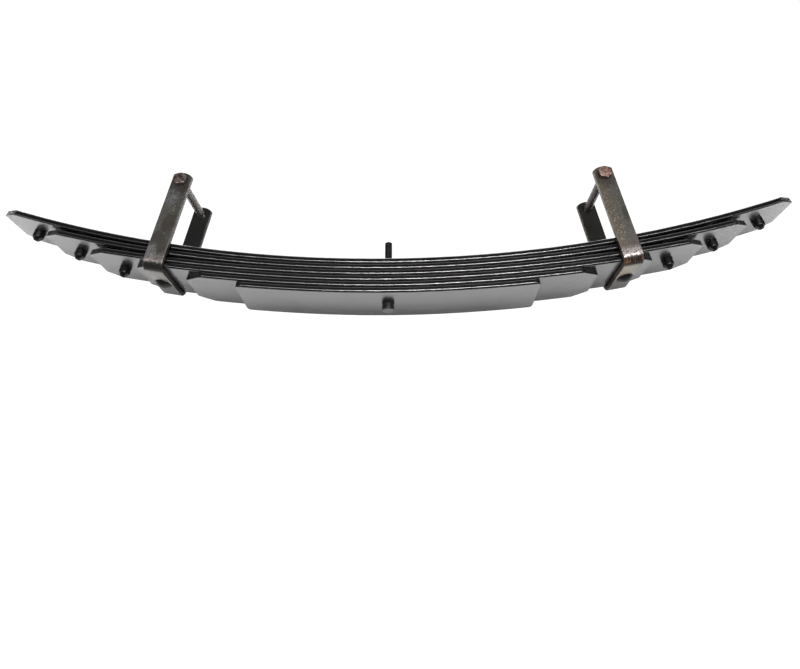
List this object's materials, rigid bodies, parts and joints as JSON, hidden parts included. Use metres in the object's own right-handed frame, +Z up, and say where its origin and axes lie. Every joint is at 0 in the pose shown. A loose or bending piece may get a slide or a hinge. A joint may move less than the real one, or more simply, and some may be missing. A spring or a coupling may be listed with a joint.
{
  "type": "helper leaf spring pack",
  "caption": "Curved helper leaf spring pack with stepped leaves on a centre bolt, tall bolted clamps and plastic tip pads.",
  "frame": {"origin": "on the centre bolt's axis, where its head meets the underside of the shortest leaf", "axes": "+X along the spring towards its longer half, +Y across it towards the clamp nuts, +Z up the centre stud"},
  "size_m": [1.0449, 0.1108, 0.1855],
  "materials": {
    "leaf_paint": "satin black paint over rolled spring steel, lightly worn on the edges",
    "strap_steel": "thin dark paint over hot rolled bar, mottled, worn to bright steel and rust at the bends",
    "bolt_steel": "worn plated steel",
    "rivet_steel": "dark forged steel",
    "pad_plastic": "moulded black plastic"
  },
  "bodies": {
    "centre": {"leaf_1": "leaf_paint", "leaf_2": "leaf_paint", "leaf_3": "leaf_paint", "leaf_4": "leaf_paint", "leaf_5": "leaf_paint", "leaf_6": "leaf_paint", "centre_bolt": "bolt_steel", "centre_nut": "bolt_steel"},
    "left_clamp": {"left_clamp_strap": "strap_steel", "left_clamp_rivet": "rivet_steel", "left_clamp_bolt": "bolt_steel", "left_clamp_nut": "bolt_steel"},
    "left_tip_3": {"left_tip_pad_3": "pad_plastic"},
    "left_tip_2": {"left_tip_pad_2": "pad_plastic"},
    "left_tip_1": {"left_tip_pad_1": "pad_plastic"},
    "right_clamp": {"right_clamp_strap": "strap_steel", "right_clamp_rivet": "rivet_steel", "right_clamp_bolt": "bolt_steel", "right_clamp_nut": "bolt_steel"},
    "right_tip_3": {"right_tip_pad_3": "pad_plastic"},
    "right_tip_2": {"right_tip_pad_2": "pad_plastic"},
    "right_tip_1": {"right_tip_pad_1": "pad_plastic"}
  },
  "joints": [
    {"name": "left_flex", "type": "hinge", "parent": "centre", "child": "left_clamp", "pos_m": [-0.1931, 0, 0.03461], "axis": [0, -1, 0], "range_deg": [0, 7], "stiffness_Nm_per_rad": 10000, "deforming": ["leaf_1", "leaf_2", "leaf_3", "leaf_4", "leaf_5", "leaf_6"]},
    {"name": "left_tip_3_flex", "type": "hinge", "parent": "left_clamp", "child": "left_tip_3", "pos_m": [-0.32109, 0, 0.05989], "axis": [0, -1, 0], "range_deg": [0, 2.1]},
    {"name": "left_tip_2_flex", "type": "hinge", "parent": "left_tip_3", "child": "left_tip_2", "pos_m": [-0.38098, 0, 0.0791], "axis": [0, -1, 0], "range_deg": [0, 2.5]},
    {"name": "left_tip_1_flex", "type": "hinge", "parent": "left_tip_2", "child": "left_tip_1", "pos_m": [-0.44487, 0, 0.10286], "axis": [0, -1, 0], "range_deg": [0, 2.5]},
    {"name": "right_flex", "type": "hinge", "parent": "centre", "child": "right_clamp", "pos_m": [0.19867, 0, 0.03531], "axis": [0, 1, 0], "range_deg": [0, 7], "stiffness_Nm_per_rad": 10000, "deforming": ["leaf_1", "leaf_2", "leaf_3", "leaf_4", "leaf_5", "leaf_6"]},
    {"name": "right_tip_3_flex", "type": "hinge", "parent": "right_clamp", "child": "right_tip_3", "pos_m": [0.3345, 0, 0.06269], "axis": [0, 1, 0], "range_deg": [0, 2.2]},
    {"name": "right_tip_2_flex", "type": "hinge", "parent": "right_tip_3", "child": "right_tip_2", "pos_m": [0.39568, 0, 0.08272], "axis": [0, 1, 0], "range_deg": [0, 2.3]},
    {"name": "right_tip_1_flex", "type": "hinge", "parent": "right_tip_2", "child": "right_tip_1", "pos_m": [0.46079, 0, 0.10753], "axis": [0, 1, 0], "range_deg": [0, 2.6]}
  ],
  "couplings": [
    {"joint": "left_tip_3_flex", "follows": "left_flex", "ratio": 0.277},
    {"joint": "left_tip_2_flex", "follows": "left_flex", "ratio": 0.332},
    {"joint": "left_tip_1_flex", "follows": "left_flex", "ratio": 0.332},
    {"joint": "right_tip_3_flex", "follows": "right_flex", "ratio": 0.286},
    {"joint": "right_tip_2_flex", "follows": "right_flex", "ratio": 0.305},
    {"joint": "right_tip_1_flex", "follows": "right_flex", "ratio": 0.338}
  ]
}
